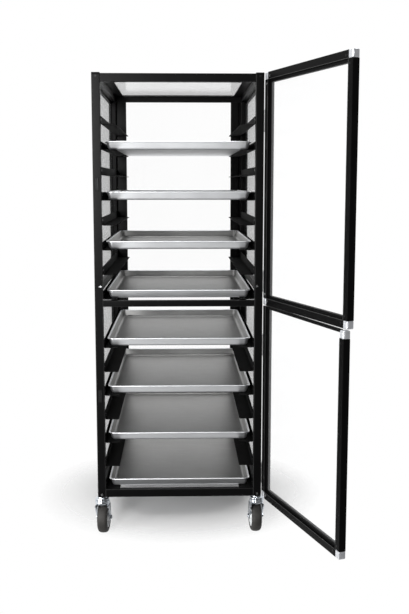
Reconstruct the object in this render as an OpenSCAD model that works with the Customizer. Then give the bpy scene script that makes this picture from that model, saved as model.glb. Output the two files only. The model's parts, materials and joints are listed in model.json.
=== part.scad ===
// Mobile proofing cabinet for full-size sheet pans: a black square-tube frame on four swivel
// casters, glazed on the top, bottom, sides and back, with L runners for sixteen levels and two
// glazed doors, one above the other, hung on the right front post.
// The origin is on the floor below the middle of the frame. +X is to the right seen from the
// front, +Y goes to the back and +Z is up.

/* [Sheet pans] */
// Width of a pan over its rolled rim
pan_w = 451; // [380:1:540]
// Length of a pan over its rolled rim
pan_l = 654; // [540:1:790]
// Height of a pan
pan_h = 26.4; // [20:0.2:32]
// Sheet thickness of a pan
pan_t = 1.2; // [0.8:0.1:2]
// How far the foot of a pan's wall lies inside the edge of its rim
pan_flare = 12; // [8:0.5:15]
// Width of the rolled rim
pan_rim_w = 5; // [3:0.5:7]
// Height of the rolled rim
pan_rim_h = 5; // [3:0.5:7]
// Corner radius of the rim
pan_corner_r = 20; // [18:1:60]

/* [Levels] */
// Height from one level to the next
level_pitch = 76.2; // [60:0.1:100]
// Frame top down to the first level
first_level_drop = 149.8; // [110:0.1:200]
// Space from the lowest level down to the bottom rails
last_level_gap = 1.8; // [1.6:0.1:20]
// How far a runner reaches in from the post
runner_reach = 45; // [32:0.5:60]
// Height of a runner's upright flange
runner_rise = 24; // [18:0.5:28]
// Thickness of a runner
runner_t = 1.6; // [1.2:0.1:2.4]
// Free space between a pan's rim and the posts, each side
pan_side_gap = 9.6; // [6:0.1:20]
// Front of the frame to the front of a pan
pan_setback = 20; // [20:0.5:40]
// Back of a pan to the rear panel's frame
pan_rear_gap = 5; // [2:0.5:20]

/* [Frame] */
// Side of the square posts
post = 25.4; // [22:0.1:40]
// Wall of the posts and rails
tube_wall = 1.6; // [1.2:0.1:2.4]
// Height of the top and bottom rails
rail_h = 25.4; // [24:0.1:40]
// Depth of the front and rear rails
rail_d = 19; // [16:0.5:24]
// Height of the front middle rail
mid_rail_h = 19; // [15:0.5:30]
// Level that the front middle rail lies just under
mid_rail_level = 8; // [6:1:10]
// Space from that level down to the middle rail
mid_rail_gap = 4.8; // [3:0.1:10]
// Height of the bars that brace the sides at mid height
brace_h = 25; // [16:1:30]
// Height of a post cap above the frame
cap_h = 3; // [2:0.5:6]

/* [Glazing] */
// Thickness of the clear sheets
glaze_t = 3; // [2:0.5:4]
// Depth that a sheet enters its channel
glaze_bite = 6; // [4:0.5:8]
// Width of the side channels
channel_w = 9; // [8:0.5:12]
// Leg of the angles that carry the top and bottom sheets
deck_leg = 12; // [8:0.5:16]
// Thickness of those angles
deck_t = 1.5; // [1:0.1:2.5]
// Frame's bottom to the outer face of its sheet
deck_inset = 9; // [6:0.5:12]
// Leg of the wider side angles that carry the top sheet
roof_leg = 30; // [12:1:40]
// Frame's top to the outer face of its sheet
roof_inset = 2; // [2:0.5:8]
// Face width of the rear panel's frame
rear_face = 27; // [20:0.5:34]
// Flange between the rear panel's frame and the posts
rear_flange = 11; // [8:0.5:16]
// Depth that the rear sheet enters the groove in the rear top rail
rear_top_bite = 4; // [3:0.1:4]

/* [Doors] */
// Thickness of a door
door_t = 20; // [17:0.5:26]
// Outer tube of a door's stiles and rails
door_band = 22; // [18:0.5:28]
// Inner lip of a door's stiles and rails, which holds the sheet
door_lip = 9; // [8:0.5:14]
// Wall of the door extrusions
door_wall = 1.8; // [1.4:0.1:2.4]
// Height of the bead along the band's inner edge
door_bead = 0.8; // [0.4:0.1:1.2]
// Gap between the frame's front and a closed door
door_standoff = 3; // [3:0.5:8]
// Gap between the two doors
door_split_gap = 3; // [2:0.5:6]
// Frame's bottom to the lower door's bottom
door_bottom_gap = 6; // [2:0.5:12]
// Height of the slim channel along the lower door's top edge
slim_h = 8; // [8:0.5:14]
// How far the upper door stands open
upper_open = 109; // [0:1:180]
// How far the lower door stands open
lower_open = 108; // [0:1:180]

/* [Hinges] */
// Hinge axis beyond the side of the frame
hinge_out = 6.6; // [6.6:0.1:12]
// Radius of the hinge knuckles
knuckle_r = 4.5; // [4:0.1:6]
// Radius of the hinge pins
hinge_pin_r = 2.5; // [2:0.1:3]
// Height of a hinge
hinge_h = 66; // [50:1:80]
// Upper door's top to the middle of its first hinge
hinge_far = 140; // [90:1:180]
// Lower door's top to the middle of its first hinge
lower_hinge_far = 128; // [90:1:180]
// Door edge to the middle of each door's bottom hinge
hinge_near = 70; // [60:1:120]
// Thickness of a hinge's side plate
leaf_t = 2.5; // [2:0.1:3]

/* [Casters] */
// Wheel diameter
wheel_d = 100; // [75:1:125]
// Width of the tread
wheel_w = 32; // [25:0.5:38]
// Top of the wheel to the bottom of the frame
caster_head = 30; // [30:0.5:45]
// Wheel axle behind the swivel axis
caster_trail = 28; // [28:0.5:45]
// How far each caster is turned from straight, its inner side to the front
caster_turn = 5; // [-30:1:30]
// Radius of the swivel's kingpin
kingpin_r = 6; // [5:0.5:8]
// Radius of the wheel's axle
axle_r = 4; // [4:0.5:6]
// How far a caster's stem enters its post
stem_in = 32; // [26:0.5:34]

/* [Screws] */
// Radius of a screw's head
head_r = 4; // [3:0.1:5]
// Height of a screw's head
head_h = 1.6; // [1:0.1:2]
// Radius of a screw's shank
shank_r = 2; // [1.5:0.1:2.5]

/* [Hidden] */
$fn = 48;
level_count = 16;
fit = 0.05;       // radial clearance of shafts and screws in their holes
body_gap = 0.3;   // rest gap between a pan and its runners
swivel_gap = 0.4; // faces that turn past each other
seam = 0.1;       // joint line between bars that butt together

frame_w = pan_w + 2 * pan_side_gap + 2 * post;
frame_d = pan_setback + pan_l + pan_rear_gap + rail_d;
frame_h = first_level_drop + (level_count - 1) * level_pitch + last_level_gap + rail_h;
caster_h = wheel_d + caster_head;
half_w = frame_w / 2;
inner_w = frame_w - 2 * post;
front = -frame_d / 2;
back = frame_d / 2;
bottom = caster_h;
top = bottom + frame_h;
post_x = half_w - post / 2;
post_y = back - post / 2;
side_len = frame_d - 2 * post;
mid_rail_top = level_z(mid_rail_level) - mid_rail_gap;
brace_z = level_z(mid_rail_level) + runner_rise + brace_h / 2 + 2.7; // just above the runner
brace_t = post - channel_w - 1.4;
side_glaze_x = half_w - channel_w / 2 - 0.4; // middle of a side's clear sheet
side_screw_in = 8;   // side rails' screws, in from the frame's top or bottom
front_screw_in = 17; // front and rear rails' screws, the same way
boss_r = 4.2;
runner_front = front + 2;
runner_back = back - rail_d - 1;
glaze_slot = glaze_t + 0.3;
meet_z = mid_rail_top - 12;
hinge_x = half_w + hinge_out;
hinge_y = front - door_standoff - door_t / 2;
door_y = hinge_y + door_t / 2;
upper_low = meet_z + door_split_gap / 2;
lower_high = meet_z - door_split_gap / 2;
lower_low = bottom + door_bottom_gap;
upper_hinges = [top - hinge_far, upper_low + hinge_near];
lower_hinges = [lower_high - lower_hinge_far, lower_low + hinge_near];
knuckle_gap = 0.5;
third = hinge_h / 3;
leaf_y = 12; // hinge screws behind the frame's front
catch_drop = 330;
sheet_y = -door_t / 2; // middle of a door's sheet, from the door's inner face
full_levels = [for (n = [2 : 2 : level_count]) n];
runner_levels = [for (n = [1 : level_count]) if (n != mid_rail_level + 1) n];
CORNERS = [[-1, -1], [1, -1], [-1, 1], [1, 1]];

// Height of the top of a level's runners.
function level_z(n) = top - first_level_drop - (n - 1) * level_pitch;

module block(x, y, z) {
    translate([x[0], y[0], z[0]]) cube([x[1] - x[0], y[1] - y[0], z[1] - z[0]]);
}

// Puts its children, drawn with +Z as the way out of the hole, on a face.
module face_to(at, axis) {
    turn = axis[0] != 0 ? [0, axis[0] * 90, 0] : [-axis[1] * 90, 0, 0];
    translate(at) rotate(turn) children();
}

module rod(at, axis, r, length) {
    face_to(at, axis) translate([0, 0, -length]) cylinder(r = r, h = length);
}

module screw(at, axis, length) {
    face_to(at, axis) {
        translate([0, 0, -length]) cylinder(r = shank_r, h = length + 0.01);
        cylinder(r1 = head_r, r2 = head_r * 0.8, h = head_h);
    }
}

/* Places of the screws: [point on the face, outward direction, length below the face] */
function runner_screws() = [for (n = runner_levels, c = CORNERS)
    [[c[0] * (inner_w / 2 - runner_t), c[1] * post_y, level_z(n) + runner_rise * 0.6],
        [-c[0], 0, 0], 6]];

function side_rail_screws() = [for (c = CORNERS,
        z = [top - side_screw_in, brace_z, bottom + side_screw_in])
    [[c[0] * (z == brace_z ? inner_w / 2 + brace_t / 2 : post_x), c[1] * back, z],
        [0, c[1], 0], post + 14]];

function cross_rail_screws() = [for (c = CORNERS,
        z = c[1] < 0 ? [top - front_screw_in, mid_rail_top - mid_rail_h / 2, bottom + front_screw_in]
            : [top - front_screw_in, bottom + front_screw_in])
    [[c[0] * half_w, c[1] * (back - rail_d / 2), z], [c[0], 0, 0], post + 14]];

function hinge_screws() = [for (z = concat(upper_hinges, lower_hinges), s = [-1, 1])
    [[half_w + leaf_t, front + leaf_y, z + s * third], [1, 0, 0], leaf_t + 5]];

module holes(places) {
    for (p = places) rod(p[0] + p[1] * 0.5, p[1], shank_r + fit, p[2] + 1);
}

// Square tube post, standing on its caster; c gives its corner.
module frame_post(c) {
    color([0.04, 0.04, 0.045]) difference() {
        translate([c[0] * post_x, c[1] * post_y, bottom + frame_h / 2])
            cube([post, post, frame_h], center = true);
        translate([c[0] * post_x, c[1] * post_y, bottom + frame_h / 2])
            cube([post - 2 * tube_wall, post - 2 * tube_wall, frame_h + 2], center = true);
        holes([for (s = concat(runner_screws(), side_rail_screws(), cross_rail_screws(), hinge_screws()))
            if (s[0][0] * c[0] > 0 && s[0][1] * c[1] > 0) s]);
    }
}

module post_caps() {
    plug = post - 2 * tube_wall - 0.2;
    color([0.03, 0.03, 0.03]) for (c = CORNERS) translate([c[0] * post_x, c[1] * post_y, top]) {
        translate([-plug / 2, -plug / 2, -5]) cube([plug, plug, 5]);
        hull() {
            translate([-post / 2, -post / 2, 0]) cube([post, post, cap_h / 2]);
            translate([-post / 2 + 2, -post / 2 + 2, 0]) cube([post - 4, post - 4, cap_h]);
        }
    }
}

// Tube section d by h with a screw boss at height boss_z, drawn from its lower corner.
module rail_section(d, h, boss_z) {
    difference() {
        union() {
            difference() {
                square([d, h]);
                translate([tube_wall, tube_wall]) square([d - 2 * tube_wall, h - 2 * tube_wall]);
            }
            translate([d / 2, boss_z]) circle(r = boss_r);
            translate([d / 2 - tube_wall / 2, tube_wall / 2]) square([tube_wall, h - tube_wall]);
        }
        translate([d / 2, boss_z]) circle(r = shank_r + fit);
    }
}

// Rail across the cabinet between two posts.
module cross_rail(y, z, h, boss_z) {
    color([0.04, 0.04, 0.045]) translate([-inner_w / 2, y, z]) rotate([90, 0, 90])
        linear_extrude(inner_w) rail_section(rail_d, h, boss_z);
}

module front_top_rail() { cross_rail(front, top - rail_h, rail_h, rail_h - front_screw_in); }
module front_mid_rail() { cross_rail(front, mid_rail_top - mid_rail_h, mid_rail_h, mid_rail_h / 2); }
module front_bottom_rail() { cross_rail(front, bottom, rail_h, front_screw_in); }

// Section of the rear top rail, with a groove in its lower edge for the rear sheet.
module rear_top_section() {
    groove = rear_top_bite + 0.5;
    difference() {
        union() {
            rail_section(rail_d, rail_h, rail_h - front_screw_in);
            square([rail_d, groove + tube_wall]);
        }
        translate([rail_d / 2 - glaze_slot / 2, -1]) square([glaze_slot, groove + 1]);
        translate([rail_d / 2, rail_h - front_screw_in]) circle(r = shank_r + fit);
    }
}

module rear_rails() {
    color([0.04, 0.04, 0.045]) translate([-inner_w / 2, back - rail_d, top - rail_h])
        rotate([90, 0, 90]) linear_extrude(inner_w) rear_top_section();
    cross_rail(back - rail_d, bottom, rail_h, front_screw_in);
}

module side_rails() {
    color([0.04, 0.04, 0.045]) for (s = [-1, 1]) {
        for (end = [[top - rail_h, rail_h - side_screw_in], [bottom, side_screw_in]])
            translate([s * post_x - post / 2, side_len / 2, end[0]]) rotate([90, 0, 0])
                linear_extrude(side_len) rail_section(post, rail_h, end[1]);
        translate([s * (inner_w / 2 + brace_t / 2) - brace_t / 2, side_len / 2, brace_z - brace_h / 2])
            rotate([90, 0, 0]) linear_extrude(side_len) rail_section(brace_t, brace_h, brace_h / 2);
    }
}

// Underside of the clear sheet in the top (end = 1) or the bottom (end = -1) of the frame.
function deck_z(end) = end > 0 ? top - roof_inset - glaze_t : bottom + deck_inset;

module deck_panel(end) {
    z = deck_z(end);
    color([0.85, 0.88, 0.9, 0.35]) block(
        [-inner_w / 2 + deck_t + 0.5, inner_w / 2 - deck_t - 0.5],
        [front + rail_d + deck_t + 0.5, back - rail_d - deck_t - 0.5], [z, z + glaze_t]);
}

// Angles riveted round the inside of the top and bottom rails, which carry the clear sheets.
module deck_angles() {
    deck_d = frame_d - 2 * rail_d;
    color([0.05, 0.05, 0.05]) for (end = [-1, 1]) {
        z = deck_z(end);
        side_leg = end > 0 ? roof_leg : deck_leg;
        cross_half = inner_w / 2 - side_leg - seam;
        for (s = [-1, 1]) {
            block(sort2(s * inner_w / 2, s * (inner_w / 2 - side_leg)), [-deck_d / 2, deck_d / 2],
                [z - deck_t, z]);
            block(sort2(s * inner_w / 2, s * (inner_w / 2 - deck_t)), [-deck_d / 2, deck_d / 2],
                [z - deck_t, z + glaze_t + 2]);
            block([-cross_half, cross_half],
                sort2(s * deck_d / 2, s * (deck_d / 2 - deck_leg)), [z - deck_t, z]);
            block([-cross_half, cross_half],
                sort2(s * deck_d / 2, s * (deck_d / 2 - deck_t)), [z - deck_t, z + glaze_t + 2]);
        }
    }
}

function sort2(a, b) = [min(a, b), max(a, b)];

module side_panel(s) {
    reach = side_len / 2 - channel_base - 0.5;
    color([0.85, 0.88, 0.9, 0.35]) block(
        [s * side_glaze_x - glaze_t / 2, s * side_glaze_x + glaze_t / 2], [-reach, reach],
        [bottom + rail_h + channel_base + 0.5, top - rail_h - channel_base - 0.5]);
}

channel_base = 1.5;

// U channel section, open towards +Y, its back on the X axis.
module channel_section() {
    difference() {
        translate([-channel_w / 2, 0]) square([channel_w, channel_base + glaze_bite + 0.5]);
        translate([-glaze_slot / 2, channel_base]) square([glaze_slot, glaze_bite + 1]);
    }
}

module side_channels() {
    low = bottom + rail_h;
    high = top - rail_h;
    depth = channel_base + glaze_bite + 0.5 + seam;
    color([0.05, 0.05, 0.05]) for (s = [-1, 1]) {
        for (f = [-1, 1]) translate([s * side_glaze_x, f * side_len / 2, low])
            rotate([0, 0, f < 0 ? 0 : 180]) linear_extrude(high - low) channel_section();
        translate([s * side_glaze_x, -side_len / 2 + depth, low]) rotate([-90, 0, 0])
            mirror([0, 1]) linear_extrude(side_len - 2 * depth) channel_section();
        translate([s * side_glaze_x, -side_len / 2 + depth, high]) rotate([-90, 0, 0])
            linear_extrude(side_len - 2 * depth) channel_section();
    }
}

// Section of the rear frame: tube, with the groove for its sheet in the edge at +X.
module rear_section(flange) {
    difference() {
        union() {
            square([rear_face, rail_d]);
            if (flange > 0) translate([-flange, rail_d - 4]) square([flange + 1, 4]);
        }
        translate([tube_wall, tube_wall])
            square([rear_face - glaze_bite - 3 - tube_wall, rail_d - 2 * tube_wall]);
        translate([rear_face - glaze_bite - 0.5, rail_d / 2 - glaze_slot / 2])
            square([glaze_bite + 1, glaze_slot]);
    }
}

module rear_panel_frame() {
    low = bottom + rail_h;
    high = top - rail_h;
    stile_in = inner_w / 2 - rear_flange - rear_face;
    color([0.05, 0.05, 0.05]) {
        translate([-inner_w / 2 + rear_flange, back - rail_d, low])
            linear_extrude(high - low) rear_section(rear_flange);
        mirror([1, 0, 0]) translate([-inner_w / 2 + rear_flange, back - rail_d, low])
            linear_extrude(high - low) rear_section(rear_flange);
        translate([stile_in - seam, back - rail_d, low]) rotate([0, -90, 0])
            linear_extrude(2 * (stile_in - seam)) rear_section(0);
    }
}

module rear_panel() {
    half = inner_w / 2 - rear_flange - rear_face + glaze_bite;
    color([0.85, 0.88, 0.9, 0.35]) block([-half, half],
        [back - rail_d / 2 - glaze_t / 2, back - rail_d / 2 + glaze_t / 2],
        [bottom + rail_h + rear_face - glaze_bite, top - rail_h + rear_top_bite]);
}

// L runners on one side: the pan's foot slides on the level flange.
module runners(s) {
    color([0.04, 0.04, 0.045]) difference() {
        for (n = runner_levels) {
            block(sort2(s * inner_w / 2, s * (inner_w / 2 - runner_reach)), [runner_front, runner_back],
                [level_z(n) - runner_t, level_z(n)]);
            block(sort2(s * inner_w / 2, s * (inner_w / 2 - runner_t)),
                [runner_front, back - 5], [level_z(n) - runner_t, level_z(n) + runner_rise]);
        }
        holes([for (p = runner_screws()) if (p[0][0] * s > 0) p]);
    }
}

module frame_screws() {
    color([0.75, 0.75, 0.76])
        for (p = concat(runner_screws(), side_rail_screws(), cross_rail_screws(), hinge_screws()))
            screw(p[0], p[1], p[2]);
}

// Flat cased magnets on the left post, one for each door.
module catch_magnets() {
    color([0.02, 0.02, 0.02]) for (z = [top - catch_drop, bottom + catch_drop])
        block([-post_x - 6, -post_x + 6], [front - 1.8, front], [z - 20, z + 20]);
}

// Frame half of a hinge: side plate, bend and the outer two knuckles.
module post_leaf(z) {
    difference() {
        translate([hinge_x, hinge_y, z]) {
            jog = door_t / 2 + door_standoff + 0.5;
            block([-hinge_out, -hinge_out + leaf_t], [jog, jog + 20], [-hinge_h / 2, hinge_h / 2]);
            block([-hinge_out, 2], [jog, jog + leaf_t], [-hinge_h / 2, hinge_h / 2]);
            for (s = [-1, 1]) translate([0, 0, s * third]) {
                cylinder(r = knuckle_r, h = third, center = true);
                block([-1, 2], [0, jog + 1], [-third / 2, third / 2]);
            }
        }
        translate([hinge_x, hinge_y, z])
            cylinder(r = hinge_pin_r + 0.02, h = hinge_h + 2, center = true);
        holes(hinge_screws());
    }
}

module hinge_post_leaves() {
    color([0.7, 0.71, 0.72]) for (z = concat(upper_hinges, lower_hinges)) post_leaf(z);
}

module hinge_pins() {
    color([0.8, 0.8, 0.82]) for (z = concat(upper_hinges, lower_hinges))
        translate([hinge_x, hinge_y, z]) {
            cylinder(r = hinge_pin_r, h = hinge_h + 1, center = true);
            for (s = [-1, 1]) translate([0, 0, s * (hinge_h / 2 + 1)])
                cylinder(r = hinge_pin_r + 1, h = 1, center = true);
        }
}

// Turns a door piece, drawn closed, about the hinge axis.
module swing(angle) {
    translate([hinge_x, hinge_y, 0]) rotate([0, 0, angle]) translate([-hinge_x, -hinge_y, 0]) children();
}

// Door half of a hinge: edge plate and the middle knuckle.
module door_leaf(z) {
    difference() {
        translate([hinge_x, hinge_y, z]) {
            block([-hinge_out, -hinge_out + 1.6], [-door_t / 2 + 1, door_t / 2 - 1],
                [-hinge_h / 2, hinge_h / 2]);
            cylinder(r = knuckle_r, h = third - 2 * knuckle_gap, center = true);
            block([-hinge_out, 0], [-1.5, 1.5], [-third / 2 + knuckle_gap, third / 2 - knuckle_gap]);
        }
        translate([hinge_x, hinge_y, z])
            cylinder(r = hinge_pin_r + fit, h = hinge_h, center = true);
    }
}

// Door extrusion: hollow band, bead and grooved lip. X runs in from the door's outer edge,
// Y from the door's inner face (0) to its outer face (-door_t).
module door_section() {
    difference() {
        union() {
            translate([0, -door_t]) square([door_band, door_t]);
            translate([door_band - 1.6, -1]) square([1.6, 1 + door_bead]);
            translate([door_band - 1, -door_t + 3]) square([door_lip + 1, door_t - 8]);
        }
        translate([door_wall, -door_t + door_wall])
            square([door_band - 2 * door_wall, door_t - 2 * door_wall]);
        translate([door_band + door_lip - glaze_bite - 0.5, sheet_y - glaze_slot / 2])
            square([glaze_bite + 1, glaze_slot]);
    }
}

function corner_screws(low, high, corners) = [for (c = corners) each [
    [[c[0] * (half_w - door_band * 0.62), door_y, c[1] > 0 ? high - door_band - 12 : low + door_band + 12],
        [0, 1, 0], 7],
    [[c[0] * (half_w - door_band - 12), door_y, c[1] > 0 ? high - door_band * 0.62 : low + door_band * 0.62],
        [0, 1, 0], 7]]];

// Upright of a door between z0 and z1 on the side s.
module door_stile(s, z0, z1, screws) {
    color([0.04, 0.04, 0.045]) difference() {
        translate([s * half_w, door_y, z0]) mirror([s > 0 ? 1 : 0, 0, 0])
            linear_extrude(z1 - z0) door_section();
        holes(screws);
    }
}

// Rail of a door: end = 1 at the top, -1 at the bottom.
module door_rail(z, end, screws) {
    span = frame_w - 2 * door_band;
    lip_in = door_lip + 0.1;
    color([0.04, 0.04, 0.045]) difference() {
        translate([-span / 2, door_y, z]) rotate([0, 90, 0]) mirror([end > 0 ? 0 : 1, 0, 0])
            linear_extrude(span) door_section();
        for (s = [-1, 1]) block(sort2(s * (span / 2 + 1), s * (span / 2 - lip_in)),
            [door_y - door_t, door_y + 2], sort2(z - end * (door_band + 0.05), z - end * (door_band + 20)));
        holes(screws);
    }
}

// Cast corner with two tenons that enter the stile and the rail.
module door_corner(s, end, z, screws, with_rail) {
    bar = door_band - 2 * door_wall - 0.3;
    bar_t = door_t - 2 * door_wall - 0.3;
    color([0.78, 0.79, 0.81]) difference() {
        translate([s * (half_w - door_band / 2), door_y - door_t / 2, z - end * door_band / 2]) {
            difference() {
                cube([door_band, door_t, door_band], center = true);
                for (q = [-1, 1]) translate([s * door_band / 2, q * door_t / 2, 0]) rotate([0, 0, 45])
                    cube([2.4, 2.4, door_band + 1], center = true);
            }
            translate([0, 0, -end * (door_band / 2 + 10)]) cube([bar, bar_t, 20.1], center = true);
            if (with_rail) translate([-s * (door_band / 2 + 10), 0, 0])
                cube([20.1, bar_t, bar], center = true);
        }
        holes(screws);
    }
}

module door_sheet(z0, z1) {
    half = half_w - door_band - door_lip + glaze_bite;
    color([0.85, 0.88, 0.9, 0.35]) block([-half, half],
        [door_y + sheet_y - glaze_t / 2, door_y + sheet_y + glaze_t / 2], [z0, z1]);
}

module door_screws(screws, catch_z) {
    color([0.8, 0.8, 0.82]) {
        for (p = screws) screw(p[0], p[1], p[2]);
        translate([-post_x, door_y + 0.3, catch_z]) rotate([90, 0, 0]) cylinder(r = head_r, h = 0.3 + door_wall);
    }
}

module catch_hole(z) {
    translate([-post_x, door_y + 1, z]) rotate([90, 0, 0]) cylinder(r = head_r + fit, h = 1 + door_wall + 1);
}

upper_screws = corner_screws(upper_low, top, CORNERS);
lower_screws = concat(corner_screws(lower_low, lower_high, [[-1, -1], [1, -1]]),
    [corner_screws(lower_low, lower_high, [[-1, 1]])[0]]);
sheet_back = door_band + door_lip - glaze_bite;

module upper_hinge_stile() {
    swing(upper_open) door_stile(1, upper_low + door_band, top - door_band, upper_screws);
}

module upper_free_stile() {
    swing(upper_open) difference() {
        door_stile(-1, upper_low + door_band, top - door_band, upper_screws);
        catch_hole(top - catch_drop);
    }
}

module upper_door_rails() {
    swing(upper_open) {
        door_rail(top, 1, upper_screws);
        door_rail(upper_low, -1, upper_screws);
    }
}

module upper_door_corners() {
    swing(upper_open) for (s = [-1, 1]) {
        door_corner(s, 1, top, upper_screws, true);
        door_corner(s, -1, upper_low, upper_screws, true);
    }
}

module upper_door_panel() { swing(upper_open) door_sheet(upper_low + sheet_back, top - sheet_back); }
module upper_hinge_leaves() {
    color([0.7, 0.71, 0.72]) swing(upper_open) for (z = upper_hinges) door_leaf(z);
}
module upper_door_screws() { swing(upper_open) door_screws(upper_screws, top - catch_drop); }

module lower_hinge_stile() {
    swing(lower_open) door_stile(1, lower_low + door_band, lower_high, lower_screws);
}

module lower_free_stile() {
    swing(lower_open) difference() {
        door_stile(-1, lower_low + door_band, lower_high - door_band, lower_screws);
        catch_hole(bottom + catch_drop);
    }
}

// Bottom rail, and the slim channel that closes the sheet's top edge.
module lower_door_rails() {
    slim_half = half_w - door_band - door_lip - 0.1;
    swing(lower_open) {
        door_rail(lower_low, -1, lower_screws);
        color([0.04, 0.04, 0.045]) difference() {
            block([-slim_half, slim_half], [door_y + sheet_y - 5, door_y + sheet_y + 5],
                [lower_high - slim_h, lower_high]);
            block([-slim_half - 1, slim_half + 1],
                [door_y + sheet_y - glaze_slot / 2, door_y + sheet_y + glaze_slot / 2],
                [lower_high - slim_h - 1, lower_high - slim_h + glaze_bite + 0.5]);
        }
    }
}

module lower_door_corners() {
    swing(lower_open) {
        for (s = [-1, 1]) door_corner(s, -1, lower_low, lower_screws, true);
        door_corner(-1, 1, lower_high, lower_screws, false);
    }
}

module lower_door_panel() {
    swing(lower_open) door_sheet(lower_low + sheet_back, lower_high - slim_h + glaze_bite);
}
module lower_hinge_leaves() {
    color([0.7, 0.71, 0.72]) swing(lower_open) for (z = lower_hinges) door_leaf(z);
}
module lower_door_screws() { swing(lower_open) door_screws(lower_screws, bottom + catch_drop); }

module rounded_rect(w, l, r) {
    square([w - 2 * r, l], center = true);
    square([w, l - 2 * r], center = true);
    for (c = CORNERS) translate([c[0] * (w / 2 - r), c[1] * (l / 2 - r)]) circle(r = r, $fn = 32);
}

// Slab of a pan's outline, drawn in by in_by from the edge of its rim.
module pan_slab(in_by, z, h) {
    translate([0, 0, z]) linear_extrude(h)
        rounded_rect(pan_w - 2 * in_by, pan_l - 2 * in_by, pan_corner_r - in_by);
}

// Pressed aluminium sheet pan with flared walls and a rolled rim, on the level's runners.
module sheet_pan(n) {
    color([0.8, 0.81, 0.82]) translate([0, front + pan_setback + pan_l / 2, level_z(n) + body_gap])
        difference() {
            union() {
                hull() {
                    pan_slab(pan_flare, 0, 0.1);
                    pan_slab(pan_rim_w, pan_h - 0.1, 0.1);
                }
                pan_slab(0, pan_h - pan_rim_h, pan_rim_h);
            }
            hull() {
                pan_slab(pan_flare + pan_t, pan_t, 0.1);
                pan_slab(pan_rim_w + pan_t, pan_h, 0.1);
            }
        }
}

crown_z = wheel_d + 4;
race_z = caster_h - 11;

// Puts its children, drawn about a swivel axis with the wheel behind it, on a caster.
module at_caster(c) {
    translate([c[0] * post_x, c[1] * post_y, 0]) rotate([0, 0, c[0] * caster_turn]) children();
}

// Stem, upper race and kingpin of the casters, fixed in the posts.
module caster_stems() {
    color([0.72, 0.74, 0.78]) for (c = CORNERS) translate([c[0] * post_x, c[1] * post_y, 0])
        difference() {
            union() {
                translate([0, 0, caster_h - 4]) cylinder(r = 16, h = 4);
                translate([0, 0, race_z + swivel_gap]) cylinder(r = 22, h = 7);
                translate([0, 0, caster_h]) cylinder(r = post / 2 - tube_wall - 0.1, h = stem_in);
                translate([0, 0, crown_z - 1]) cylinder(r = kingpin_r, h = caster_h - crown_z);
                translate([0, 0, crown_z - swivel_gap - 5]) cylinder(r = 9.5, h = 5, $fn = 6);
                translate([0, 0, crown_z - swivel_gap - 1]) cylinder(r = kingpin_r, h = 2);
            }
            rod([c[0] * post, 0, caster_h + front_screw_in]
                - [0, c[1] * (post_y - back + rail_d / 2), 0], [c[0], 0, 0], shank_r + 0.3, 2 * post);
            rod([0, c[1] * post, caster_h + side_screw_in], [0, c[1], 0], shank_r + 0.3, 2 * post);
        }
}

fork_gap = wheel_w + 6; // between the fork's legs
leg_t = 3;
foot_r = 10; // round end of a leg, about the axle

// Swivelling fork with its lower race, and the axle bolt with its nut.
module fork(c) {
    at_caster(c) {
        color([0.72, 0.74, 0.78]) difference() {
            union() {
                translate([0, 0, crown_z]) cylinder(r = 23, h = race_z - crown_z);
                translate([-fork_gap / 2 - leg_t, -21, crown_z])
                    cube([fork_gap + 2 * leg_t, 21 + caster_trail, 4]);
                for (s = [-1, 1]) translate([s * (fork_gap + leg_t) / 2, 0, 0]) rotate([90, 0, 90])
                    translate([0, 0, -leg_t / 2]) linear_extrude(leg_t) {
                        polygon([[-17, crown_z + 4], [-17, crown_z - 3],
                            [caster_trail - foot_r, wheel_d / 2], [caster_trail + foot_r, wheel_d / 2],
                            [caster_trail, crown_z + 4]]);
                        translate([caster_trail, wheel_d / 2]) circle(r = foot_r);
                    }
            }
            translate([0, 0, crown_z - 1]) cylinder(r = kingpin_r + fit, h = caster_h);
            rod([wheel_w, caster_trail, wheel_d / 2], [1, 0, 0], axle_r + 0.02, 2 * wheel_w);
        }
        color([0.8, 0.8, 0.82]) {
            reach = fork_gap / 2 + leg_t + 0.05;
            rod([reach + 5, caster_trail, wheel_d / 2], [1, 0, 0], axle_r, 2 * reach + 5);
            face_to([-reach, caster_trail, wheel_d / 2], [-1, 0, 0]) cylinder(r = 6.5, h = 3);
            face_to([reach, caster_trail, wheel_d / 2], [1, 0, 0]) cylinder(r = 7.2, h = 4, $fn = 6);
        }
    }
}

rim_r = wheel_d / 2 - 17;

module wheel_at(c) {
    at_caster(c) translate([0, caster_trail, wheel_d / 2]) rotate([0, 90, 0]) children();
}

// Moulded wheel centre with a boss that turns on the axle.
module hub(c) {
    boss = fork_gap / 2 - swivel_gap;
    web = wheel_w / 2 - 9;
    color([0.75, 0.76, 0.77]) wheel_at(c) rotate_extrude() {
        translate([axle_r + fit, -boss]) square([9, 2 * boss]);
        translate([axle_r + fit, -web]) square([rim_r - axle_r - fit, 2 * web]);
        translate([rim_r - 5, -wheel_w / 2 + 1]) square([5, wheel_w - 2]);
    }
}

// Rubber tyre moulded round the wheel centre.
module tyre(c) {
    shoulder = (wheel_d / 2 - rim_r) / 2 - 0.1;
    color([0.16, 0.15, 0.14]) wheel_at(c) rotate_extrude() {
        translate([rim_r, -wheel_w / 2]) square([wheel_d / 2 - rim_r - shoulder, wheel_w]);
        translate([rim_r, -wheel_w / 2 + shoulder])
            square([wheel_d / 2 - rim_r, wheel_w - 2 * shoulder]);
        for (s = [-1, 1]) translate([wheel_d / 2 - shoulder, s * (wheel_w / 2 - shoulder)])
            circle(r = shoulder);
    }
}

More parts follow.
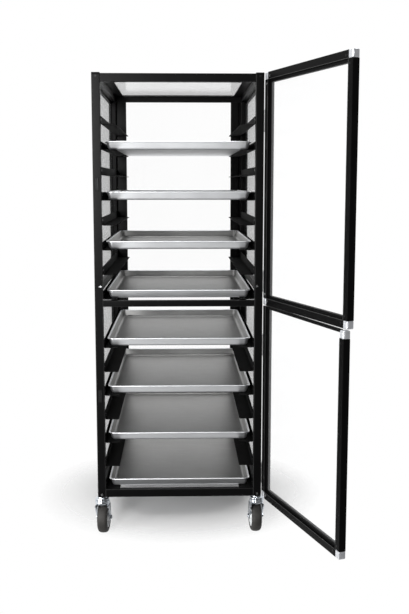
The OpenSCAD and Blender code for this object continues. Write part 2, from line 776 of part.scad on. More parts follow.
frame_post([-1, -1]);  // post_front_left
frame_post([1, -1]);  // post_front_right
frame_post([-1, 1]);  // post_rear_left
frame_post([1, 1]);  // post_rear_right
post_caps();
front_top_rail();
front_mid_rail();
front_bottom_rail();
rear_rails();
side_rails();
deck_panel(1);  // top_panel
deck_panel(-1);  // bottom_panel
deck_angles();
side_panel(-1);  // side_panel_left
side_panel(1);  // side_panel_right
side_channels();
rear_panel_frame();
rear_panel();
runners(-1);  // runners_left
runners(1);  // runners_right
frame_screws();
catch_magnets();
hinge_post_leaves();
hinge_pins();
upper_hinge_stile();
upper_free_stile();
upper_door_rails();
upper_door_corners();
upper_door_panel();
upper_hinge_leaves();
upper_door_screws();
lower_hinge_stile();
lower_free_stile();
lower_door_rails();
lower_door_corners();
lower_door_panel();
lower_hinge_leaves();
lower_door_screws();
for (i = [1 : len(full_levels)])
    sheet_pan(full_levels[i - 1]);
caster_stems();
for (c = CORNERS) {
    place = str(c[1] < 0 ? "front_" : "rear_", c[0] < 0 ? "left" : "right");
    fork(c);
    hub(c);
    tyre(c);
}
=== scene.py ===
import json
from math import cos, pi, radians, sin, tau

import bmesh
import bpy
from mathutils import Matrix, Vector


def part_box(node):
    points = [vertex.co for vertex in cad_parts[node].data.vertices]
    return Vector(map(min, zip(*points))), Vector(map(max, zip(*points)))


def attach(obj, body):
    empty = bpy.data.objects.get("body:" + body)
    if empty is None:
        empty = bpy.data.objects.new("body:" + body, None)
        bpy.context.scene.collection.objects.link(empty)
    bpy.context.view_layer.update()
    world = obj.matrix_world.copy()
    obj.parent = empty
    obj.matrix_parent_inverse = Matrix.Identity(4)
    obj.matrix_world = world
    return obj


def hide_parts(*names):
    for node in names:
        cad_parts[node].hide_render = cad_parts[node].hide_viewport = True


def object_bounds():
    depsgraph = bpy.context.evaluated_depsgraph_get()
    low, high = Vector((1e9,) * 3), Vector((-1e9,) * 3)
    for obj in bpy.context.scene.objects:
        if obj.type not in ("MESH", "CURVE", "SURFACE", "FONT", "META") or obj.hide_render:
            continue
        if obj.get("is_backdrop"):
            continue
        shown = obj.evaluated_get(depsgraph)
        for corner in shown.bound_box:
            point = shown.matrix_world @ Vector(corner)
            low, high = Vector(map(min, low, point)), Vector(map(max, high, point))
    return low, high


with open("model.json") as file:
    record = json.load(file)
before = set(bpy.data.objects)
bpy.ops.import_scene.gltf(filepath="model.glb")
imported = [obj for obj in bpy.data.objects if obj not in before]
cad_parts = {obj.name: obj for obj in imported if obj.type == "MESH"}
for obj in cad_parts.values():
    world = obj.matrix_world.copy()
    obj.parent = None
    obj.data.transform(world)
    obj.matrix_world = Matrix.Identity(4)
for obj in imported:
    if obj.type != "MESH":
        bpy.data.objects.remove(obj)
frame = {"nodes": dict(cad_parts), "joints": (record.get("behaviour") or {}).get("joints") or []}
cad_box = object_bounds()
scene = bpy.context.scene
scene.view_settings.view_transform = "Standard"


# ---------------------------------------------------------------- Camera
# A camera at chest height in front of the cabinet's middle, a little under 2.8 m from its open
# front, tipped down towards the pans.
stand_off = 2.773
eye_height = 1.119
tipped_down = radians(7.75)
turned_right = radians(1.52)
camera = bpy.data.objects.new("camera", bpy.data.cameras.new("camera"))
camera.data.lens = 52.8
camera.location = (0.006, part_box("post_front_left")[0].y - stand_off, eye_height)
camera.rotation_euler = (pi / 2 - tipped_down, 0, -turned_right)
scene.collection.objects.link(camera)
scene.camera = camera


# ---------------------------------------------------------------- Studio
# A white room. Its seamless floor is grey only round the cabinet and fades to clear further out, a
# painted shadow pool about the shadow the lamps cast. The room's surround fades towards the dark
# end where the camera stands. A tall soft lamp stands left of the camera, a small weak one low at
# the left front, and a large one hangs overhead.
class Wire:
    """A node's output. Python's operators on it add Math nodes to the same tree."""

    def __init__(self, shades, socket):
        self.shades = shades
        self.socket = socket

    def math(self, operation, *terms):
        return self.shades.node("Math", {"operation": operation}, dict(enumerate(terms)))

    def __add__(self, other):
        return self.math("ADD", self, other)

    def __sub__(self, other):
        return self.math("SUBTRACT", self, other)

    def __rsub__(self, other):
        return self.math("SUBTRACT", other, self)

    def __mul__(self, other):
        return self.math("MULTIPLY", self, other)

    def __pow__(self, other):
        return self.math("POWER", self, other)

    __radd__ = __add__
    __rmul__ = __mul__


class Shades:
    """The nodes of a material or of the world."""

    def __init__(self, owner):
        owner.use_nodes = True
        self.owner = owner
        self.nodes = owner.node_tree.nodes
        self.links = owner.node_tree.links
        self.nodes.clear()

    def node(self, kind, settings=None, sockets=None, output=0):
        """Adds a node: first its settings, then its sockets, each a value or a Wire."""
        made = self.nodes.new("ShaderNode" + kind)
        for name, value in (settings or {}).items():
            if name != "stops":
                setattr(made, name, value)
                continue
            while len(made.color_ramp.elements) < len(value):
                made.color_ramp.elements.new(1.0)
            for stop, (place, level) in zip(made.color_ramp.elements, value):
                stop.position = place
                stop.color = (level, level, level, 1.0)
        for name, value in (sockets or {}).items():
            if isinstance(value, Wire):
                self.links.new(value.socket, made.inputs[name])
            else:
                made.inputs[name].default_value = value
        return Wire(self, made.outputs[output]) if made.outputs else made

    def place(self, stretch=(1, 1, 1), shift=(0, 0, 0)):
        """Object coordinates in metres, stretched along each axis and then shifted."""
        at = self.node("TexCoord", output="Object")
        return self.node("Mapping", None, {"Vector": at, "Location": shift, "Scale": stretch})

    def noise(self, scale, detail=2.0, stretch=(1, 1, 1), rough=0.5):
        at = self.place(stretch)
        sockets = {"Vector": at, "Scale": scale, "Detail": detail, "Roughness": rough}
        return self.node("TexNoise", None, sockets)

    def ramp(self, factor, *stops):
        return self.node("ValToRGB", {"stops": stops}, {0: factor})

    def mix(self, factor, first, second):
        return self.node("Mix", {"data_type": "RGBA"}, {0: factor, 6: first, 7: second}, 2)

    def bump(self, height, distance, strength=1.0):
        sockets = {"Strength": strength, "Distance": distance, "Height": height}
        return self.node("Bump", None, sockets)

    def surface(self, sockets):
        shader = self.node("BsdfPrincipled", None, sockets)
        self.node("OutputMaterial", None, {"Surface": shader})
        return self.owner


def grey(level, tint=(1, 1, 1)):
    return (level * tint[0], level * tint[1], level * tint[2], 1.0)


studio = Shades(bpy.data.worlds.new("studio"))
scene.world = studio.owner
seen = studio.node("LightPath", output="Is Camera Ray")
mirrored = studio.node("LightPath", output="Is Glossy Ray")
through = studio.node("LightPath", output="Is Transmission Ray")
heading = studio.node("TexCoord", output="Generated")
to_right, to_back, upward = [studio.node("SeparateXYZ", None, {0: heading}, axis)
                             for axis in "XYZ"]
walls = studio.ramp(to_back * 0.5 + 0.5 - to_right * 0.16, (0.0, 0.05), (0.30, 0.16), (0.62, 1.0))
floor_glow = studio.ramp(0 - upward, (0.18, 0.0), (0.48, 0.15), (0.80, 0.52))
room = walls.math("MAXIMUM", walls, floor_glow)
ambient = 0.42
lit = (1 - seen - mirrored - through) * ambient + seen + through + mirrored * room
backdrop = studio.node("Background", None, {"Color": grey(1.0), "Strength": lit})
studio.node("OutputWorld", None, {"Surface": backdrop})


def lamp(name, size, power, place, target):
    light = bpy.data.lights.new(name, "AREA")
    light.shape = "RECTANGLE"
    light.size, light.size_y = size
    light.energy = power
    holder = bpy.data.objects.new(name, light)
    holder.location = place
    holder.rotation_euler = (Vector(target) - Vector(place)).to_track_quat("-Z", "Y").to_euler()
    holder.visible_camera = False
    scene.collection.objects.link(holder)


lamp("key_lamp", (0.5, 1.3), 78, (-0.90, -3.0, 1.45), (0, 0, 0.9))
lamp("fill_lamp", (0.5, 0.7), 13, (-1.0, -1.05, 0.36), (0, -0.3, 0.8))
lamp("top_lamp", (2.4, 2.4), 64, (0.1, 0.5, 3.4), (0, 0, 0))

floor_colour = Shades(bpy.data.materials.new("studio_floor"))
# The floor is grey only round the cabinet and fades to clear outwards: a painted shadow fall-off
# about the shadow the lamps cast.
from_middle = floor_colour.place(shift=(0, -0.105, 0))
reach = floor_colour.node("VectorMath", {"operation": "LENGTH"}, {0: from_middle}, "Value")
floor_look = {"Base Color": grey(0.67), "Roughness": 0.6}
floor_shader = floor_colour.node("BsdfPrincipled", None, floor_look)
painted_shadow_fall_off = floor_colour.ramp(reach, (0.25, 0.0), (0.52, 1.0))
clear = floor_colour.node("BsdfTransparent")
blended = floor_colour.node("MixShader", None, {0: painted_shadow_fall_off, 1: floor_shader, 2: clear})
floor_colour.node("OutputMaterial", None, {"Surface": blended})
ground = bmesh.new()
bmesh.ops.create_grid(ground, x_segments=1, y_segments=1, size=4)
floor_mesh = bpy.data.meshes.new("floor")
ground.to_mesh(floor_mesh)
ground.free()
floor = bpy.data.objects.new("floor", floor_mesh)
floor.data.materials.append(floor_colour.owner)
scene.collection.objects.link(floor)
floor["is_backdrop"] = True


# ---------------------------------------------------------------- Posts
# Four square aluminium tubes with rounded corners, powder-coated black. The coat has a fine
# orange-peel texture, and is drawn lighter in patches on the rounded edges.
mm = 0.001
CORNERS = ("front_left", "front_right", "rear_left", "rear_right")


def blank():
    bm = bmesh.new()
    bm.faces.layers.float.new("worn")
    return bm


def added(bm, before):
    """The vertices of bm that are not in the set before."""
    return [v for v in bm.verts if v not in before]


def faces_of(verts):
    """The faces that meet at any of verts, each once."""
    return list(dict.fromkeys(f for v in verts for f in v.link_faces))


def soften(bm, verts, edge, segments=2, angle=35):
    """Rounds the sharp edges among verts and marks the new faces, which the coats draw lighter."""
    sharp = dict.fromkeys(e for v in verts for e in v.link_edges
                          if len(e.link_faces) == 2 and e.calc_face_angle() > radians(angle))
    rounded = bmesh.ops.bevel(bm, geom=list(sharp), offset=edge, offset_type="OFFSET",
                              segments=segments, profile=0.5, affect="EDGES",
                              clamp_overlap=True, material=-1)
    worn = bm.faces.layers.float["worn"]
    for face in rounded["faces"]:
        face[worn] = 1.0


def bar(bm, low, high, edge, segments=2):
    """A solid bar between two corners with rounded edges."""
    before = set(bm.verts)
    size = Matrix.Diagonal((*(high - low), 1))
    bmesh.ops.create_cube(bm, size=1, matrix=Matrix.Translation((low + high) / 2) @ size)
    soften(bm, added(bm, before), edge, segments)


def part(name, bm, body, slot, finish, *nodes):
    """Makes a piece of bm, shaded smooth between its sharp edges, that stands for CAD nodes."""
    mesh = bpy.data.meshes.new(name)
    bm.to_mesh(mesh)
    bm.free()
    mesh.materials.append(finish)
    mesh.shade_smooth()
    mesh.set_sharp_from_angle(angle=radians(50))
    piece = bpy.data.objects.new(name, mesh)
    scene.collection.objects.link(piece)
    weighted = piece.modifiers.new("weighted", "WEIGHTED_NORMAL")
    weighted.keep_sharp = True
    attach(piece, body)
    if nodes:
        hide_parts(*nodes)
    return piece


def black_coat(name, roughness, gloss):
    coat = Shades(bpy.data.materials.new(name))
    peel = coat.noise(1300, 2)
    cloud = coat.noise(14, 4)
    coat_patches = coat.ramp(coat.noise(55, 6, (1, 1, 0.25), 0.65), (0.60, 0.0), (0.72, 1.0))
    # Lighter in patches on the rounded edges; on the door beads this is a painted highlight.
    pale_edge_and_bead_mix = coat.node("Attribute", {"attribute_name": "worn"}, None, "Fac") * (coat_patches * 0.75 + 0.25)
    colour = coat.mix(cloud, grey(0.0018), grey(0.0036, (1, 1, 1.04)))
    return coat.surface({
        "Base Color": coat.mix(pale_edge_and_bead_mix * 0.7, colour, grey(0.08)),
        "Roughness": roughness + cloud * 0.08 + coat_patches * 0.05 - pale_edge_and_bead_mix * 0.02,
        "Specular IOR Level": gloss,
        "Normal": coat.bump(peel, 0.05 * mm, 0.6)})


coat = black_coat("black_powder_coat", 0.30, 0.065)
post_round = 2.0 * mm
for corner in CORNERS:
    tube = blank()
    bar(tube, *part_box("post_" + corner), post_round, 3)
    part("post_tube_" + corner, tube, "cabinet", "black_frame", coat, "post_" + corner)


# ---------------------------------------------------------------- Post caps
# Moulded black nylon caps pressed into the tops of the posts, each with a shallow dished face
# inside a rounded rim.
def shells(node, turn=Matrix()):
    """The points of each separate solid of a CAD node, after the move turn."""
    bm = bmesh.new()
    bm.from_mesh(frame["nodes"][node].data)
    bm.transform(turn)
    bmesh.ops.remove_doubles(bm, verts=bm.verts, dist=0.001 * mm)
    left = set(bm.verts)
    found = []
    while left:
        shell = [left.pop()]
        for vert in shell:
            near_by = {e.other_vert(vert) for e in vert.link_edges} & left
            left -= near_by
            shell.extend(near_by)
        found.append([v.co.copy() for v in shell])
    bm.free()
    return found


def extent(points):
    low = Vector([min(p[i] for p in points) for i in range(3)])
    high = Vector([max(p[i] for p in points) for i in range(3)])
    return low, high


def solids(node, turn=Matrix()):
    """The boxes of a CAD node's solids, from the lowest and nearest to the front."""
    boxes = [extent(points) for points in shells(node, turn)]
    return sorted(boxes, key=lambda box: [round(box[0][i], 4) for i in (2, 1, 0)])


def moulded_black():
    nylon = Shades(bpy.data.materials.new("moulded_black_nylon"))
    grain = nylon.noise(2600, 3)
    return nylon.surface({
        "Base Color": nylon.mix(nylon.noise(40, 3), grey(0.0035), grey(0.0065)),
        "Roughness": 0.5 + grain * 0.12,
        "Specular IOR Level": 0.10,
        "Normal": nylon.bump(grain, 0.03 * mm, 0.5)})


def dished(bm, face, rim, depth):
    """Sinks the middle of a face, leaving a rim."""
    slope = depth * 1.5
    bmesh.ops.inset_region(bm, faces=[face], thickness=rim, depth=0, use_even_offset=True)
    bmesh.ops.inset_region(bm, faces=[face], thickness=slope, depth=-depth, use_even_offset=True)


nylon = moulded_black()
cap_round = 1.6 * mm
cap_rim = 2.2 * mm
cap_dish = 0.7 * mm
caps = blank()
for low, high in solids("post_caps"):
    before = set(caps.verts)
    bar(caps, low, high, cap_round, 4)
    top = max(faces_of(added(caps, before)), key=lambda f: f.normal.z * f.calc_area())
    dished(caps, top, cap_rim, cap_dish)
part("post_cap_mouldings", caps, "cabinet", "black_plastic", nylon, "post_caps")


# ---------------------------------------------------------------- Rails
# Rectangular tubes between the posts: three across the front and three along each side. They
# are cut square and screwed through the posts.
rail_round = 1.3 * mm
for node in ("front_top_rail", "front_mid_rail", "front_bottom_rail", "side_rails"):
    rails = blank()
    for low, high in solids(node):
        bar(rails, low, high, rail_round)
    part(node + "_tubes", rails, "cabinet", "black_frame", coat, node)


# ---------------------------------------------------------------- Angles, channels, rear frame
# Black extrusions that hold the clear sheets: light angles round the top and bottom, U channels
# round the sides, and at the back two stiles and a rail below the grooved top rail. All have
# broken edges.
def eased(node, edge):
    """A merged copy of a CAD node with its sharp edges broken."""
    bm = blank()
    bm.from_mesh(frame["nodes"][node].data)
    bmesh.ops.remove_doubles(bm, verts=bm.verts, dist=0.001 * mm)
    bmesh.ops.dissolve_limit(bm, angle_limit=radians(0.5), verts=bm.verts, edges=bm.edges)
    soften(bm, bm.verts[:], edge)
    return bm


broken_edges = {"rear_rails": 0.9 * mm, "deck_angles": 0.35 * mm,
                "side_channels": 0.5 * mm, "rear_panel_frame": 0.7 * mm}
for node, edge in broken_edges.items():
    part(node + "_black", eased(node, edge), "cabinet", "black_frame", coat, node)


# ---------------------------------------------------------------- Clear sheets of the cabinet
# Polycarbonate sheets in the top, bottom, sides and back. They carry fine hairlines from
# wiping and a faint haze, and turn grey when seen along their surface, a painted reflection.
def polycarbonate():
    sheet = Shades(bpy.data.materials.new("clear_polycarbonate"))
    # The facing term makes the sheet greyer as it turns away from the camera: a painted reflection.
    facing = sheet.node("LayerWeight", None, {"Blend": 0.5}, "Facing")
    haze = sheet.noise(7, 5, rough=0.6)
    hairline = sheet.ramp(sheet.noise(160, 3, (1, 1, 0.06)), (0.60, 0.0), (0.78, 1.0))
    return sheet.surface({
        "Base Color": sheet.mix(haze, grey(0.66, (0.99, 1, 1.01)), grey(0.78, (0.99, 1, 1.01))),
        "Roughness": 0.09 + haze * 0.06 + hairline * 0.12,
        "IOR": 1.58,
        "Alpha": 0.015 + haze * 0.010 + hairline * 0.014 + facing ** 4 * 0.46})


clear_sheet = polycarbonate()
for node in ("top_panel", "bottom_panel", "side_panel_left", "side_panel_right", "rear_panel"):
    frame["nodes"][node].data.materials.clear()
    frame["nodes"][node].data.materials.append(clear_sheet)


# ---------------------------------------------------------------- Runners
# L runners bent from black-coated sheet, one pair a level, screwed to the insides of the posts.
# The bend is rounded, and the free corners of the level flange are rounded off. The coat on
# them is dull from pans sliding over it.
runner_coat = black_coat("dull_runner_coat", 0.66, 0.05)
bend_round = 3.0 * mm
tip_round = 5.0 * mm
runner_sheet = 1.6 * mm


def runner(bm, low, high, side):
    """An L runner within a box; side is the sign of the post's X."""
    before = set(bm.verts)
    post_side, free_side = (high.x, low.x) if side > 0 else (low.x, high.x)
    level = low.z + runner_sheet
    profile = [bm.verts.new((free_side, low.y, level)),
               bm.verts.new((post_side - side * runner_sheet, low.y, level)),
               bm.verts.new((post_side - side * runner_sheet, low.y, high.z))]
    edges = [bm.edges.new(pair) for pair in zip(profile, profile[1:])]
    grown = bmesh.ops.extrude_edge_only(bm, edges=edges)
    far = [v for v in grown["geom"] if isinstance(v, bmesh.types.BMVert)]
    bmesh.ops.translate(bm, verts=far, vec=(0, high.y - low.y, 0))
    new = added(bm, before)
    bend = [e for e in profile[1].link_edges if len(e.link_faces) == 2]
    tips = [v for v in new if abs(v.co.x - free_side) < 0.01 * mm]
    bmesh.ops.bevel(bm, geom=bend, offset=bend_round, segments=4, profile=0.5,
                    affect="EDGES", material=-1)
    bmesh.ops.bevel(bm, geom=tips, offset=tip_round, segments=4, profile=0.5,
                    affect="VERTICES", material=-1)
    faces = faces_of(added(bm, before))
    bmesh.ops.recalc_face_normals(bm, faces=faces)
    top = max(faces, key=lambda f: f.calc_area())
    if top.normal.z < 0:
        bmesh.ops.reverse_faces(bm, faces=faces)
    bmesh.ops.solidify(bm, geom=faces, thickness=runner_sheet)


for side, name in ((-1, "runners_left"), (1, "runners_right")):
    bent = blank()
    for low, high in solids(name):
        runner(bent, low, high, side)
    part(name + "_bent", bent, "cabinet", "black_frame", runner_coat, name)


# ---------------------------------------------------------------- Frame screws
# Pan-head screws with a cross recess. They hold the runners, rails and hinges to the posts, and
# are bright plated but for the top ones, which are blackened.
def screw_plate(name, dark, light, roughness):
    plate = Shades(bpy.data.materials.new(name))
    spots = plate.noise(900, 4)
    cold = (0.98, 0.99, 1)
    return plate.surface({
        "Base Color": plate.mix(spots, grey(dark, cold), grey(light, cold)),
        "Metallic": 1.0,
        "Roughness": roughness + spots * 0.14,
        "Normal": plate.bump(spots, 0.02 * mm, 0.4)})


def pan_head(bm, place, radius, height):
    """A domed screw head with a cross recess, on the plane Z = 0 of place."""
    before = set(bm.verts)
    bmesh.ops.create_circle(bm, cap_ends=True, segments=16, radius=radius)
    face = faces_of(added(bm, before))[0]
    if face.normal.z < 0:
        face.normal_flip()
    for inward, rise in ((0.0, 0.35), (0.13, 0.38), (0.20, 0.19), (0.24, 0.08)):
        bmesh.ops.inset_region(bm, faces=[face], thickness=max(inward * radius, 0.001 * mm),
                               depth=rise * height, use_even_offset=True)
    middle = face.calc_center_median()
    for index, loop in enumerate(face.loops):
        arm = (1.15, 0.72, 0.34, 0.72)[index % 4]
        loop.vert.co = middle + (loop.vert.co - middle) * arm
    bmesh.ops.inset_region(bm, faces=[face], thickness=0.03 * radius, depth=-0.75 * height)
    bmesh.ops.transform(bm, matrix=place, verts=added(bm, before))


def head_place(points, height):
    """Puts a head on a CAD screw: on the axis of its solid, at the end that is wider."""
    low, high = extent(points)
    size = high - low
    odd = [abs(size[(i + 1) % 3] - size[(i + 2) % 3]) for i in range(3)]
    axis = odd.index(min(odd))
    side = (axis + 1) % 3
    widths = []
    for end in (low[axis], high[axis]):
        face = [p[side] for p in points if abs(p[axis] - end) < 0.1 * mm]
        widths.append(max(face) - min(face))
    way = Vector((0, 0, 0))
    way[axis] = 1.0 if widths[1] > widths[0] else -1.0
    base = (low + high) / 2 + way * (size[axis] / 2 - height)
    return Matrix.Translation(base) @ way.to_track_quat("Z", "Y").to_matrix().to_4x4()


def screw_heads(bm, node, turn=Matrix(), axis=2, span=(0.0, 2.0)):
    """Heads on the CAD screws in a span of an axis, each turned to a place of its own."""
    screws = sorted(shells(node, turn), key=lambda points: tuple(extent(points)[0]))
    for index, points in enumerate(screws):
        if not span[0] <= points[0][axis] < span[1]:
            continue
        place = head_place(points, head_height) @ Matrix.Rotation(index * 1.3, 4, "Z")
        pan_head(bm, turn.inverted() @ place, head_radius, head_height)


steel = screw_plate("bright_plated_screw", 0.62, 0.80, 0.20)
blackened = screw_plate("blackened_steel", 0.012, 0.03, 0.36)
head_radius = 4.0 * mm
head_height = 1.6 * mm
top_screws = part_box("front_top_rail")[0].z
heads = blank()
screw_heads(heads, "frame_screws", span=(0.0, top_screws))
part("frame_screw_heads", heads, "cabinet", "bright_screw", steel, "frame_screws")
heads = blank()
screw_heads(heads, "frame_screws", span=(top_screws, 2.0))
part("top_screw_heads", heads, "cabinet", "bright_screw", blackened, "frame_screws")


# ---------------------------------------------------------------- Door catches
# A flat magnet in a black case on the left post for each door, with two blackened pole strips
# that stand a little proud of the case. A steel disc in the door meets it.
case_round = 0.5 * mm
strip_half = 1.1 * mm
strip_proud = 0.2 * mm
strip_short = 2.0 * mm
strip_round = 0.15 * mm
catches = blank()
poles = blank()
for low, high in solids("catch_magnets"):
    bar(catches, low, high, case_round)
    for share in (0.3, 0.7):
        across = low.x + (high.x - low.x) * share
        strip_low = Vector((across - strip_half, low.y - strip_proud, low.z + strip_short))
        strip_high = Vector((across + strip_half, high.y, high.z - strip_short))
        bar(poles, strip_low, strip_high, strip_round)
part("catch_magnet_cases", catches, "cabinet", "black_plastic", nylon, "catch_magnets")
part("catch_pole_strips", poles, "cabinet", "bright_screw", blackened)


# ---------------------------------------------------------------- Hinges
# Four butt hinges of satin steel: rolled knuckles, a leaf round the corner of the post and a
# plain leaf on the edge of the door, on a pin with two domed ends.
def satin_steel():
    satin = Shades(bpy.data.materials.new("satin_hinge_steel"))
    grind = satin.noise(700, 4, (1, 1, 0.08))
    return satin.surface({
        "Base Color": satin.mix(grind, grey(0.42), grey(0.62)),
        "Metallic": 1.0,
        "Roughness": 0.30 + grind * 0.14,
        "Normal": satin.bump(grind, 0.02 * mm, 0.5)})


def turned(bm, outline, place, steps=40, closed=False):
    """Spins an outline of (radius, height) points, in mm, about the Z axis of place."""
    before = set(bm.verts)
    verts = [bm.verts.new((radius * mm, 0, height * mm)) for radius, height in outline]
    pairs = list(zip(verts, verts[1:])) + ([(verts[-1], verts[0])] if closed else [])
    edges = [bm.edges.new(pair) for pair in pairs]
    bmesh.ops.spin(bm, geom=verts + edges, cent=(0, 0, 0), axis=(0, 0, 1), angle=tau,
                   steps=steps, use_merge=True)
    bmesh.ops.remove_doubles(bm, verts=added(bm, before), dist=0.001 * mm)
    new = added(bm, before)
    bmesh.ops.transform(bm, matrix=place, verts=new)
    bmesh.ops.recalc_face_normals(bm, faces=faces_of(new))
    return new


hinge_steel = satin_steel()
leaf_round = 0.4 * mm
part("hinge_post_leaves_rolled", eased("hinge_post_leaves", leaf_round), "cabinet",
     "hinge_metal", hinge_steel, "hinge_post_leaves")
pins = blank()
for low, high in solids("hinge_pins"):
    middle = (low + high) / 2
    length = (high.z - low.z) / mm
    pin = [(0, 0), (1.8, 0.1), (3.2, 0.6), (3.5, 1.2), (2.5, 1.3), (2.5, length - 1.3),
           (3.5, length - 1.2), (3.2, length - 0.6), (1.8, length - 0.1), (0, length)]
    turned(pins, pin, Matrix.Translation((middle.x, middle.y, low.z)), 24)
part("hinge_pins_domed", pins, "cabinet", "bright_screw", steel, "hinge_pins")


# ---------------------------------------------------------------- Doors
# Two doors of black extrusion, a square band with a bead along its inner edge and a grooved lip
# that holds the sheet. The bead is drawn lighter, a painted highlight. They are drawn shut and
# swung open about their hinges. The screws at the free side are blackened.
band = 22.0
lip = 9.0
thick = 20.0
groove = (8.3, 11.7)
lip_faces = (5.0, 17.0)
bead = (1.6, 0.8)
# The strength of the painted highlight drawn on the bead faces.
bead_highlight = 3.0
extrusion = [
    (0, 0, 1.6), (band - bead[0], 0, 0.3), (band - bead[0], -bead[1], 0.35), (band, -bead[1], 0.35),
    (band, lip_faces[0], 0.3), (band + lip, lip_faces[0], 0.5), (band + lip, groove[0], 0.3),
    (band + 3, groove[0], 0.2), (band + 3, groove[1], 0.2), (band + lip, groove[1], 0.3),
    (band + lip, lip_faces[1], 0.5), (band, lip_faces[1], 0.3), (band, thick, 1.6), (0, thick, 1.6)]


def extruded(bm, outline, length, place):
    """Extrudes an outline of (across, depth, corner radius) points, in mm, along Z of place."""
    before = set(bm.verts)
    verts = [bm.verts.new((across * mm, depth * mm, 0)) for across, depth, radius in outline]
    bm.faces.new(verts)
    for vert, (across, depth, radius) in zip(verts, outline):
        bmesh.ops.bevel(bm, geom=[vert], offset=radius * mm, segments=3, profile=0.5,
                        affect="VERTICES", material=-1)
    end = faces_of(added(bm, before))
    grown = bmesh.ops.extrude_face_region(bm, geom=end, use_keep_orig=True)
    far = [v for v in grown["geom"] if isinstance(v, bmesh.types.BMVert)]
    bmesh.ops.translate(bm, verts=far, vec=(0, 0, length))
    new = added(bm, before)
    faces = faces_of(new)
    # The bead faces get the painted highlight.
    for face in faces:
        if face.calc_center_median().y < -0.1 * mm:
            face[bm.faces.layers.float["worn"]] = bead_highlight
    bmesh.ops.transform(bm, matrix=place, verts=new)
    bmesh.ops.recalc_face_normals(bm, faces=faces)


def axes(origin, across, depth, along):
    """A placing matrix from an origin and the directions of its three axes."""
    turn = Matrix((across, depth, along)).transposed().to_4x4()
    return Matrix.Translation(origin) @ turn


RIGHT, BACK, UP = Vector((1, 0, 0)), Vector((0, 1, 0)), Vector((0, 0, 1))
door_coat = black_coat("door_powder_coat", 0.30, 0.022)
swings = {}
for level in ("upper", "lower"):
    body = level + "_door"
    joint = next(j for j in frame["joints"] if j["child"] == body)
    axis = Matrix.Translation(joint["pos_m"])
    swing = axis @ Matrix.Rotation(radians(-joint["range_deg"][0]), 4, "Z") @ axis.inverted()
    swings[level] = swing
    shut = swing.inverted()
    door_low, door_high = solids(level + "_hinge_stile", shut)[0]
    face_y = door_low.y + thick * mm
    for stile, side in (("hinge", 1), ("free", -1)):
        node = level + "_" + stile + "_stile"
        low, high = solids(node, shut)[0]
        edge = high.x if side > 0 else low.x
        upright = blank()
        place = axes(Vector((edge, face_y, low.z)), RIGHT * -side, -BACK, UP)
        extruded(upright, extrusion, high.z - low.z, swing @ place)
        part(node + "_extrusion", upright, body, "black_frame", door_coat, node)
    rails = blank()
    for low, high in solids(level + "_door_rails", shut):
        if high.z - low.z < band * mm:
            sheet_y = (low.y + high.y) / 2
            half = (high.y - low.y) / 2 / mm
            tall = (high.z - low.z) / mm
            slim = [(0, -half, 1.2), (tall, -half, 0.4), (tall, -1.65, 0.3), (2, -1.65, 0.2),
                    (2, 1.65, 0.2), (tall, 1.65, 0.3), (tall, half, 0.4), (0, half, 1.2)]
            place = axes(Vector((low.x, sheet_y, high.z)), -UP, BACK, RIGHT)
            extruded(rails, slim, high.x - low.x, swing @ place)
            continue
        at_top = low.z > (door_low.z + door_high.z) / 2
        edge, inward = (high.z, -UP) if at_top else (low.z, UP)
        place = axes(Vector((low.x, face_y, edge)), inward, -BACK, RIGHT)
        extruded(rails, extrusion, high.x - low.x, swing @ place)
    part(level + "_door_rails_extrusion", rails, body, "black_frame", door_coat,
         level + "_door_rails")
    door_sheet = frame["nodes"][level + "_door_panel"].data.materials
    door_sheet.clear()
    door_sheet.append(clear_sheet)
    part(level + "_hinge_leaves_rolled", eased(level + "_hinge_leaves", leaf_round), body,
         "hinge_metal", hinge_steel, level + "_hinge_leaves")
    screws = level + "_door_screws"
    for side, span, plate in (("hinge", (0.0, 2.0), steel), ("free", (-2.0, 0.0), blackened)):
        fixings = blank()
        screw_heads(fixings, screws, shut, 0, span)
        name = f"{level}_{side}_side_screw_heads"
        part(name, fixings, body, "bright_screw", plate, screws)


# ---------------------------------------------------------------- Door corners
# Die-cast corner blocks with a satin silver finish, their tenons inside the tubes. The faces
# are crowned, and a groove down the outer edge sets off the two faces of each block.
def cast_silver():
    silver = Shades(bpy.data.materials.new("cast_silver_corner"))
    grain = silver.noise(1100, 5, rough=0.6)
    patch = silver.noise(90, 3)
    cold = (0.97, 0.99, 1.03)
    return silver.surface({
        "Base Color": silver.mix(patch, grey(0.56, cold), grey(0.74, cold)),
        "Metallic": 0.75,
        "Roughness": 0.34 + grain * 0.16,
        "Normal": silver.bump(grain, 0.06 * mm, 0.5)})


def crowned(bm, face):
    """Sinks a groove round a face and raises the face again."""
    bmesh.ops.inset_region(bm, faces=[face], thickness=1.0 * mm, depth=-0.35 * mm)
    bmesh.ops.inset_region(bm, faces=[face], thickness=0.8 * mm, depth=0.55 * mm)


silver = cast_silver()
casting_round = 3.0 * mm
for level in ("upper", "lower"):
    swing = swings[level]
    castings = blank()
    boxes = solids(level + "_door_corners", swing.inverted())
    door_low = Vector([min(box[0][i] for box in boxes) for i in range(3)])
    door_high = Vector([max(box[1][i] for box in boxes) for i in range(3)])
    for low, high in boxes:
        right = high.x > (door_low.x + door_high.x) / 2
        upper_end = (low.z + high.z) / 2 > (door_low.z + door_high.z) / 2
        x_edge = high.x - band * mm if right else low.x
        z_edge = high.z - band * mm if upper_end else low.z
        block_low = Vector((x_edge, low.y, z_edge))
        before = set(castings.verts)
        block_high = block_low + Vector((band, thick, band)) * mm
        bar(castings, block_low, block_high, casting_round, 4)
        faces = faces_of(added(castings, before))
        outward = 1 if right else -1
        end = 1 if upper_end else -1
        for face in sorted(faces, key=lambda f: -f.calc_area())[:6]:
            way = face.normal
            if way.x * outward > 0.9 or way.z * end > 0.9 or abs(way.y) > 0.9:
                crowned(castings, face)
        bmesh.ops.transform(castings, matrix=swing, verts=added(castings, before))
    part(level + "_corner_castings", castings, level + "_door", "corner_casting", silver,
         level + "_door_corners")
